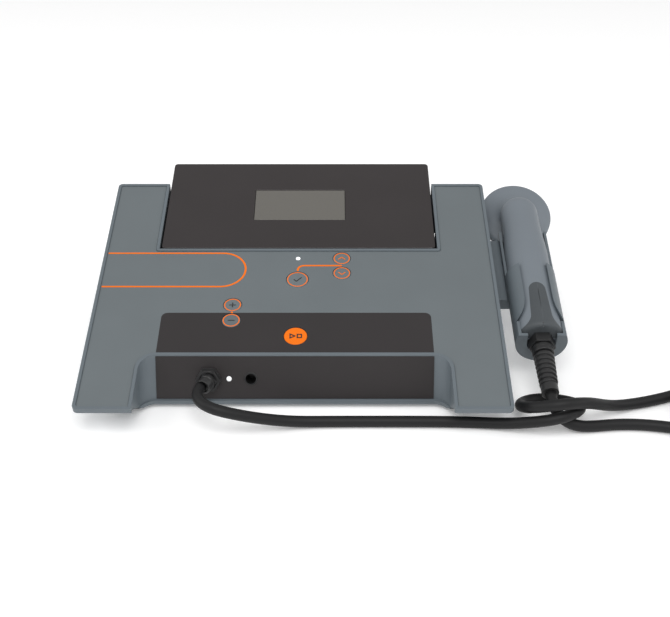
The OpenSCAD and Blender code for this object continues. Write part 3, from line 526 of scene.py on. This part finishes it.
def key_outline(radius):
    """Skirt, rounded edge, then a dish: height falls with the square of the way in."""
    way_in = np.linspace(1, 0, 8)
    dish = np.stack([np.maximum((radius - 0.5) * way_in, 0.02), -0.13 + 0.12 * way_in**2], 1)
    return np.vstack([[(0.02, -1.9), (radius, -1.9)], arc((radius - 0.45, -0.45), 0.45, 0, 85), dish])


for name, (x, s, wide) in KEYS.items():
    key = turned(name + "_cap", key_outline(wide / 2), panel(x, s, 0), OUT, sides=56)
    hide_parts(name)
    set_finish(key, KEY_SLOTS.get(name, "key_grey"))
    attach(key, name)

# %% Lamp domes
dome = np.vstack([[(0.02, -1.0), (1.58, -1.0)], arc((0, -1.4), 2.1, 42, 89, 8)])
LAMP_X, JACK_X = -40.6, -27.2
lamps = [turned("power_lamp_lens", dome, panel(0, 129.5, 0), OUT, 24),
         turned("output_lamp_lens", dome, wall(LAMP_X, FITTING_DROP, 0.3), WALL_OUT, 24)]
for lens, node in zip(lamps, ("power_lamp", "output_lamp")):
    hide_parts(node)
    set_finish(lens, "lamp_white")
    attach(lens, "console")
jack_ring = turned("jack_bezel", np.vstack([
    [(3.26, -0.5), (4.1, -0.5)], arc((3.95, 0.45), 0.25, 0, 90), [(3.26, 0.7), (3.26, -0.5)]]),
    wall(JACK_X, FITTING_DROP, 0.0), WALL_OUT, hollow=True)
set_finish(jack_ring, "black_plastic")
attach(jack_ring, "console")
print("keys", len(KEYS), "lamps", len(lamps))

# %% [markdown]
# ## Printed lines
#
# The orange guide lines and rings are ink on the film. A flat ribbon a few hundredths of a
# millimetre thick gives them a crisp edge at any distance: a small box section carried along the
# line, with its corners turned square to the path.

# %% Ribbons on a surface
def ribbon(name, path, width, place, high, closed=False, thick=0.06):
    """Flat strip along 2-D points: each end of a cross bar is the point plus or minus half the
    width along the local normal, lengthened at corners so that the strip keeps its width."""
    p = np.asarray(path, float)
    if closed:
        before, after = np.roll(p, 1, 0), np.roll(p, -1, 0)
    else:
        before, after = np.vstack([2 * p[0] - p[1], p[:-1]]), np.vstack([p[1:], 2 * p[-1] - p[-2]])
    one = (p - before) / np.linalg.norm(p - before, axis=1)[:, None]
    two = (after - p) / np.linalg.norm(after - p, axis=1)[:, None]
    way = one + two
    way /= np.linalg.norm(way, axis=1)[:, None]
    normal = np.stack([-way[:, 1], way[:, 0]], 1) / (way * one).sum(1)[:, None]
    left, right = p + normal * width / 2, p - normal * width / 2
    bar = [(left, high), (right, high), (right, high + thick), (left, high + thick)]
    points = np.array([[place(x, s, n) for x, s in line] for line, n in bar]).transpose(1, 0, 2)
    if closed:
        points = np.vstack([points, points[:1]])
    piece = grid_piece(name, points, caps=not closed, smooth=False)
    weld(piece)
    return piece


def circle(x, s, radius, start=0, stop=360, steps=60):
    """Points round a centre; a full turn leaves out its last point, because the strip closes."""
    full = stop - start == 360
    angle = np.radians(np.linspace(start, stop, steps, endpoint=not full))
    return np.stack([x + radius * np.cos(angle), s + radius * np.sin(angle)], 1)


ORANGE = []
INK = 0.02
LINE_W, RING_W, SIGN_W, WAVE_W = 1.3, 0.66, 0.62, 0.55
PLAY_W = 0.75
RING_INSET = 0.85
SIGN_LOW, SIGN_THICK = -0.09, 0.11
OUTLINE_R = 15.95
outline = np.vstack([[(-127.4, 134.55)], circle(-50.4, 118.6, OUTLINE_R, 90, -90, 40), [(-127.4, 102.65)]])
ORANGE.append(ribbon("outline_print", outline, LINE_W, panel, INK))
bend = np.vstack([[(0.0, 117.3)], circle(4.2, 118.3, 4.2, 180, 90, 8), [(29.1, 122.5)]])
ORANGE.append(ribbon("guide_print", bend, LINE_W, panel, INK))
ORANGE.append(ribbon("link_print", [(-41, 79.9), (-41, 78.6)], LINE_W, panel, INK))
for piece in ORANGE:
    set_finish(piece, "key_orange")
    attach(piece, "console")

# %% [markdown]
# The rings and signs belong to the keys, so they ride on them and move as they are pressed. The
# signs are the plain ones that any such keypad has: orange arrows, and a dark plus, minus, tick, and
# play and stop.

# %% Rings and signs on the keys
SIGNS = {
    "up_key": [[(-2.3, -0.9), (0, 1.3), (2.3, -0.9)]],
    "down_key": [[(-2.3, 0.9), (0, -1.3), (2.3, 0.9)]],
    "plus_key": [[(-2.1, 0), (2.1, 0)], [(0, 2.1), (0, 0.3)], [(0, -0.3), (0, -2.1)]],
    "minus_key": [[(-2.1, 0), (2.1, 0)]],
    "select_key": [[(-2.4, 0.1), (-0.7, -1.7), (2.7, 2.0)]]}
prints = list(ORANGE)
for name, (x, s, wide) in KEYS.items():
    if name != "start_key":
        ring = ribbon(name + "_ring", circle(x, s, wide / 2 - RING_INSET), RING_W, panel, 0.0,
                      closed=True, thick=0.05)
        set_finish(ring, "key_orange")
        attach(ring, name)
        prints.append(ring)
    for number, sign in enumerate(SIGNS.get(name, [])):
        mark = ribbon(f"{name}_sign_{number}", np.asarray(sign) + (x, s), SIGN_W, panel, SIGN_LOW,
                      thick=SIGN_THICK)
        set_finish(mark, "key_orange" if name in ("up_key", "down_key") else "label_dark")
        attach(mark, name)
        prints.append(mark)
white_prints = []
play = ribbon("play_sign", np.array([(-3.4, 60.6), (-0.5, 58.9), (-3.4, 57.2)]), PLAY_W, panel,
              SIGN_LOW, closed=True, thick=SIGN_THICK)
stop = ribbon("stop_sign", np.array([(1.1, 60.3), (3.7, 60.3), (3.7, 57.5), (1.1, 57.5)]), PLAY_W, panel,
              SIGN_LOW, closed=True, thick=SIGN_THICK)
for piece in (play, stop):
    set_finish(piece, "label_dark")
    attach(piece, "start_key")
    prints.append(piece)
for number, radius in enumerate((1.6, 2.9, 4.2)):
    wave = ribbon(f"wave_sign_{number}", circle(SOCKET_X, 5.6, radius, 232, 308, 12), WAVE_W, wall, INK)
    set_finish(wave, "lamp_white")
    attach(wave, "console")
    white_prints.append(wave)
print("prints", len(prints) + len(white_prints))

# %% [markdown]
# ## Finishes
#
# A finish is one Principled shader and the few nodes that drive it. Shader sums are easier to read
# as sums, so a small class wraps a socket and turns +, * and > into Math nodes.

# %% Sockets that can be added and multiplied
class Value:
    """A number that changes over a surface. Arithmetic on it adds Math nodes to its finish."""

    def __init__(self, finish, socket):
        self.finish = finish
        self.socket = socket

    def math(self, operation, *terms):
        return self.finish.add("ShaderNodeMath", {"operation": operation}, dict(enumerate(terms)))

    def __add__(self, other):
        return self.math("ADD", self, other)

    def __mul__(self, other):
        return self.math("MULTIPLY", self, other)

    def __gt__(self, other):
        return self.math("GREATER_THAN", self, other)

    def sine(self):
        return self.math("SINE", self)

    __radd__ = __add__
    __rmul__ = __mul__


class Finish:
    """A named material: constants go straight on its shader, and varying values are joined."""

    def __init__(self, name, colour, roughness, **fixed):
        self.material = bpy.data.materials.new(name)
        self.material.use_nodes = True
        self.tree = self.material.node_tree
        self.shader = self.tree.nodes["Principled BSDF"]
        self.colour = (*colour, 1.0)
        self.shader.inputs["Base Color"].default_value = self.colour
        self.shader.inputs["Roughness"].default_value = roughness
        for key, value in fixed.items():
            self.shader.inputs[key.replace("_", " ")].default_value = value

    def add(self, kind, settings=None, inputs=None, output=0):
        """One node of a type: settings first, such as a ramp's stops, then its sockets."""
        node = self.tree.nodes.new(kind)
        for key, value in (settings or {}).items():
            if key == "stops":
                for element, (at, grey) in zip(node.color_ramp.elements, value):
                    element.position, element.color = at, (grey, grey, grey, 1.0)
            else:
                setattr(node, key, value)
        for key, value in (inputs or {}).items():
            self.join(value, node.inputs[key])
        return Value(self, node.outputs[output])

    def join(self, value, socket):
        if isinstance(value, Value):
            self.tree.links.new(value.socket, socket)
        else:
            socket.default_value = value

    def drive(self, name, value):
        self.join(value, self.shader.inputs[name])

    def place(self, turn=(0, 0, 0), shift=(0, 0, 0)):
        """Object coordinates in metres, turned and shifted so that a pattern lines up with a part."""
        coordinates = self.add("ShaderNodeTexCoord", output=3)
        return self.add("ShaderNodeMapping", {"vector_type": "TEXTURE"},
                        {"Vector": coordinates, "Rotation": turn, "Location": shift})

    def noise(self, scale, detail=3.0, where=None):
        """Cloudy value from 0 to 1 with its features one over scale of a metre apart."""
        where = where or self.place()
        return self.add("ShaderNodeTexNoise", None, {"Vector": where, "Scale": scale, "Detail": detail})

    def axis(self, which, where=None):
        """One coordinate of a place as a number in metres."""
        return self.add("ShaderNodeSeparateXYZ", None, {"Vector": where or self.place()}, which)

    def blend(self, factor, first, second):
        """Colour between two colours."""
        return self.add("ShaderNodeMix", {"data_type": "RGBA"},
                        {0: factor, 6: (*first, 1.0), 7: (*second, 1.0)}, 2)

    def tint(self, factor, change):
        """Base colour that wanders between a little darker and a little lighter."""
        base = np.array(self.colour[:3])
        self.drive("Base Color", self.blend(factor, tuple(base * (1 - change)), tuple(base * (1 + change))))

    def bump(self, height, strength, depth):
        """Relief on the normal; depth is how many millimetres the height stands for."""
        self.drive("Normal", self.add("ShaderNodeBump", None,
                                      {"Height": height, "Strength": strength, "Distance": depth * MM}))


print("finish classes ready")

# %% [markdown]
# ## Moulded plastics and films
#
# The housings are a blue-grey plastic with a fine spark texture: tiny rounded grains under half a
# millimetre across. Larger clouds shift the roughness a little, as handling does. The films are
# smoother, with the faint peel of a screen print.

# %% Moulded plastics
def moulded(name, colour, roughness, grain=2600.0, relief=0.35, **fixed):
    """Plastic with a spark texture: fine noise for the relief, broad noise for sheen and shade."""
    finish = Finish(name, colour, roughness, **fixed)
    broad = finish.noise(28.0, 4.0)
    fine = finish.noise(grain, 2.0)
    finish.tint(broad, 0.07)
    finish.drive("Roughness", broad * 0.12 + fine * 0.08 + (roughness - 0.1))
    finish.bump(fine, relief, 0.03)
    return finish.material


housing = moulded("housing plastic", (0.112, 0.134, 0.150), 0.50)
handset_plastic = moulded("handset plastic", (0.150, 0.172, 0.194), 0.48)
overlay_film = moulded("overlay film", (0.118, 0.137, 0.146), 0.50, grain=5200.0, relief=0.22)
label_film = moulded("label film", (0.027, 0.0235, 0.0240), 0.50, grain=5200.0, relief=0.2,
                     Specular_IOR_Level=0.3)
dark_case = moulded("dark case plastic", (0.026, 0.023, 0.023), 0.52)
black_plastic = moulded("black plastic", (0.012, 0.012, 0.0125), 0.42, grain=3200.0)
key_grey = moulded("grey key film", (0.122, 0.142, 0.152), 0.46, grain=5200.0, relief=0.2)
key_dark = moulded("dark key film", (0.105, 0.120, 0.128), 0.46, grain=5200.0, relief=0.2)
orange_ink = moulded("orange ink", (0.80, 0.158, 0.003), 0.55, grain=5200.0, relief=0.15,
                     Specular_IOR_Level=0.2)
white_ink = moulded("white ink", (0.80, 0.81, 0.81), 0.45, grain=5200.0, relief=0.15)

# %% Glossy bezel and display window
bezel = Finish("gloss bezel", (0.030, 0.0255, 0.0258), 0.34, Specular_IOR_Level=0.25,
               Coat_Weight=0.12, Coat_Roughness=0.08)
smear = bezel.noise(22.0, 5.0)
bezel.tint(smear, 0.10)
bezel.drive("Roughness", smear * 0.16 + 0.26)
bezel.bump(bezel.noise(60.0, 2.0), 0.05, 0.05)

window = Finish("display window", (0.130, 0.124, 0.110), 0.30, Coat_Weight=0.25, Coat_Roughness=0.05)
screen = window.place((SLOPE, 0, 0), tuple(panel(0, 0)))
CELL = 0.5 * MM
columns = (window.axis(0, screen) * (2 * math.pi / CELL)).sine()
rows = (window.axis(1, screen) * (2 * math.pi / CELL)).sine()
cells = (columns > -0.75) * (rows > -0.75)
window.drive("Base Color", window.blend(cells, (0.088, 0.084, 0.075), (0.128, 0.121, 0.107)))
print("films and gloss ready")

# %% [markdown]
# ## Rubber, metal and the rest
#
# The cable's jacket is satin rubber: its pattern follows the cable, so it reads the piece's own
# map, in metres along. The treatment face was turned on a lathe, so its marks are fine circles
# about the head's axis. Metals vary in roughness along one direction, as brushing does.

# %% Rubbers
def rubber(name, colour, roughness, grain=1800.0):
    """Matt rubber: fine grain, and a faint bloom that lifts the shade in clouds."""
    finish = Finish(name, colour, roughness, Sheen_Weight=0.08, Sheen_Roughness=0.5)
    bloom = finish.noise(45.0, 5.0)
    grainy = finish.noise(grain, 3.0)
    finish.tint(bloom, 0.16)
    finish.drive("Roughness", bloom * 0.16 + (roughness - 0.08))
    finish.bump(grainy, 0.3, 0.03)
    return finish.material


grip_rubber = rubber("grip rubber", (0.048, 0.056, 0.062), 0.58)
foot_rubber = rubber("foot rubber", (0.020, 0.020, 0.020), 0.62)
guard_rubber = rubber("guard rubber", (0.012, 0.012, 0.0125), 0.46)
jacket = Finish("cable jacket", (0.011, 0.011, 0.0115), 0.52, Specular_IOR_Level=0.25)
along = jacket.add("ShaderNodeUVMap", {"uv_map": "along"})
stretched = jacket.add("ShaderNodeMapping", None, {"Vector": along, "Scale": (60.0, 3.0, 1.0)})
streaks = jacket.noise(6.0, 4.0, stretched)
jacket.tint(streaks, 0.14)
jacket.drive("Roughness", streaks * 0.16 + 0.44)
jacket.bump(jacket.noise(1500.0, 2.0), 0.18, 0.03)

# %% Metals
def brushed(name, colour, roughness, stretch=(40.0, 900.0, 900.0)):
    """Brushed metal: noise pulled out along X, driving both roughness and a shallow relief."""
    finish = Finish(name, colour, roughness, Metallic=1.0)
    pulled = finish.add("ShaderNodeMapping", None, {"Vector": finish.place(), "Scale": stretch})
    lines = finish.noise(1.0, 4.0, pulled)
    finish.tint(lines, 0.08)
    finish.drive("Roughness", lines * 0.2 + (roughness - 0.1))
    finish.bump(lines, 0.2, 0.02)
    return finish.material


steel = brushed("zinc plated steel", (0.62, 0.62, 0.60), 0.32)
spring = brushed("spring steel", (0.60, 0.59, 0.55), 0.26)
fins = brushed("heat sink aluminium", (0.64, 0.65, 0.67), 0.38)
socket_metal = brushed("dark plated socket", (0.22, 0.22, 0.23), 0.30)
face_metal = Finish("turned aluminium", (0.78, 0.79, 0.80), 0.2, Metallic=1.0)
HEAD_TILT = 20
HEAD_S, HEAD_N = 196, -20.5
HEAD_TURN = SLOPE + math.radians(180 - HEAD_TILT)
LATHE_PITCH = 0.4 * MM
head_place = face_metal.place((HEAD_TURN, 0, 0), tuple(panel(GRIP_X, HEAD_S, HEAD_N)))
flat = face_metal.add("ShaderNodeVectorMath", {"operation": "MULTIPLY"}, {0: head_place, 1: (1, 1, 0)})
from_axis = face_metal.add("ShaderNodeVectorMath", {"operation": "LENGTH"}, {0: flat}, 1)
marks = (from_axis * (2 * math.pi / LATHE_PITCH)).sine()
face_metal.bump(marks, 0.12, 0.01)
face_metal.drive("Roughness", marks * 0.05 + 0.2)
print("metals ready")

# %% Boards, ceramic, glass and lamps
def board(name):
    """Circuit board: green mask with paler copper runs, cut out of noise snapped to a fine grid."""
    finish = Finish(name, (0.03, 0.16, 0.07), 0.35)
    snapped = finish.add("ShaderNodeVectorMath", {"operation": "SNAP"}, {0: finish.place(), 1: (0.0012,) * 3})
    copper = finish.noise(260.0, 1.0, snapped) > 0.52
    finish.drive("Base Color", finish.blend(copper, (0.02, 0.13, 0.05), (0.06, 0.27, 0.10)))
    finish.bump(copper, 0.3, 0.03)
    return finish.material


circuit = board("circuit board")
ceramic = moulded("crystal ceramic", (0.60, 0.53, 0.36), 0.35, grain=4000.0)
fuse = moulded("fuse glass", (0.70, 0.74, 0.74), 0.12, grain=900.0, relief=0.05)
lamp = Finish("lamp lens", (0.90, 0.91, 0.91), 0.22, Coat_Weight=0.4, Emission_Strength=0.35)
frost = lamp.noise(1600.0, 3.0)
lamp.tint(frost, 0.05)
lamp.drive("Emission Color", lamp.blend(frost, (0.90, 0.93, 1.0), (1.0, 1.0, 1.0)))
lamp.bump(frost, 0.15, 0.02)
print("finishes", len(bpy.data.materials))

# %% [markdown]
# ## Every piece gets its finish
#
# The record names a slot for each node, and each slot has one finish here, so a piece is dressed by
# its slot and nothing is left in plain grey.

# %% Dress the pieces
BY_SLOT = {
    "housing_grey": housing, "handset_grey": handset_plastic, "overlay_grey": overlay_film,
    "label_dark": label_film, "bezel_gloss": bezel.material, "housing_dark": dark_case,
    "window": window.material, "circuit_board": circuit, "spring_steel": spring, "heat_sink": fins,
    "black_plastic": black_plastic, "lamp_white": lamp.material, "socket_metal": socket_metal,
    "nut_dark": black_plastic, "screw_steel": steel, "fuse_glass": fuse, "foot_rubber": foot_rubber,
    "key_orange": orange_ink, "key_grey": key_grey, "key_dark": key_dark, "grip_rubber": grip_rubber,
    "treatment_aluminium": face_metal.material, "seal_rubber": foot_rubber, "crystal_ceramic": ceramic,
    "relief_rubber": guard_rubber, "cable_rubber": jacket.material}
slot_of = {row["node"]: row["material_slot"] for row in frame["record"]["subparts"]}


def dress(piece, material):
    """One material on the whole piece."""
    piece.data.materials.clear()
    piece.data.materials.append(material)


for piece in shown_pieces():
    dress(piece, BY_SLOT[piece.get("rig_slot") or slot_of[piece.name]])
for piece in white_prints:
    dress(piece, white_ink)

# %% [markdown]
# ## The cable's length

print("declared 1.49 m, made", round(CABLE_LENGTH, 3))

# %% [markdown]
# ## Floor and light
#
# A plain pale bench and soft studio light. The broad lamp stands in front rather than overhead,
# because the sloping panel would mirror an overhead one into the camera and wash its colours out.
# One lamp on each side and an even white surround keep the shadows open, and the bench glows a
# little, as a light table does. The plain Standard view keeps the orange ink as strong as it is.

# %% Floor
floor = bpy.data.objects.new("bench", bpy.data.meshes.new("bench"))
half = 6.0
corners = [(-half, -half, 0), (half, -half, 0), (half, half, 0), (-half, half, 0)]
floor.data.from_pydata(corners, [], [(0, 1, 2, 3)])
bpy.context.scene.collection.objects.link(floor)
pale = Finish("pale bench", (0.94, 0.94, 0.94), 0.8,
              Emission_Color=(1.0, 1.0, 1.0, 1.0), Emission_Strength=0.16)
dress(floor, pale.material)


# %% Lights
def soft_lamp(name, place, size, power):
    """Square area lamp that faces the object's middle."""
    light = bpy.data.lights.new(name, "AREA")
    light.size, light.energy = size, power
    lamp_object = bpy.data.objects.new(name, light)
    lamp_object.location = place
    aim = np.array([0.0, 0.0, 0.03]) - np.asarray(place)
    from_axis_z = -aim / np.linalg.norm(aim)
    lamp_object.rotation_mode = "XYZ"
    lamp_object.rotation_euler = (math.acos(from_axis_z[2]), 0.0,
                                  math.atan2(from_axis_z[1], from_axis_z[0]) + math.pi / 2)
    bpy.context.scene.collection.objects.link(lamp_object)


soft_lamp("front", (0.0, -0.95, 1.45), 1.1, 15.0)
soft_lamp("left", (-1.4, -0.2, 0.9), 1.0, 6.5)
soft_lamp("right", (1.4, -0.2, 0.8), 1.0, 5.0)
world = bpy.data.worlds.new("surround")
world.use_nodes = True
world.node_tree.nodes["Background"].inputs["Color"].default_value = (1.0, 1.0, 1.0, 1.0)
world.node_tree.nodes["Background"].inputs["Strength"].default_value = 0.58
bpy.context.scene.world = world
bpy.context.scene.view_settings.view_transform = "Standard"
print("lights set")
